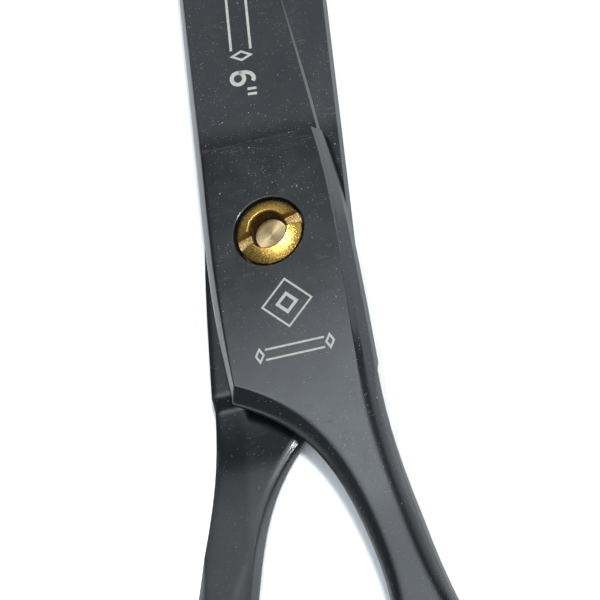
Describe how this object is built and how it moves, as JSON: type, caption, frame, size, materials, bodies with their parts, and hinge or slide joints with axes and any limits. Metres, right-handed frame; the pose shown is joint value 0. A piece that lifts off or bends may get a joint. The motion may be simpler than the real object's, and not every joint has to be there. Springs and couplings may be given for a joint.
{
  "type": "hair cutting shears",
  "caption": "Right-handed hair cutting shears with black coated blades, a slotted gold tension nut on the pivot, a rubber ring stop and a finger rest.",
  "frame": {"origin": "on the pivot axis, in the plane of the thumb half's outer face, on which the shears lie", "axes": "+Y to the blade tips, +Z along the pivot axis towards the tension nut, +X to the finger side"},
  "size_m": [0.0784, 0.1574, 0.0066],
  "materials": {
    "coated_steel": "satin black coating on steel, with fine scratches",
    "stud_steel": "turned, pale gold tint",
    "gold_brass": "turned and lightly brushed gold",
    "bush_bronze": "plain bearing bronze",
    "spring_steel": "rolled",
    "glide_plastic": "natural acetal",
    "bumper_rubber": "matt"
  },
  "bodies": {
    "thumb_side": {"thumb_half": "coated_steel", "pivot_stud": "stud_steel", "glide_disc": "glide_plastic", "thrust_washer": "glide_plastic", "spring_washer": "spring_steel", "ring_bumper": "bumper_rubber"},
    "finger_side": {"finger_half": "coated_steel", "pivot_bush": "bush_bronze", "finger_rest": "coated_steel"},
    "nut": {"tension_nut": "gold_brass"}
  },
  "joints": [
    {"name": "blade_pivot", "type": "hinge", "parent": "thumb_side", "child": "finger_side", "pos_m": [0, 0, 0], "axis": [0, 0, 1], "range_deg": [-6.8, 103]},
    {"name": "nut_turn", "type": "hinge", "parent": "thumb_side", "child": "nut", "pos_m": [0, 0, 0], "axis": [0, 0, 1], "range_deg": [-90, 90]}
  ]
}
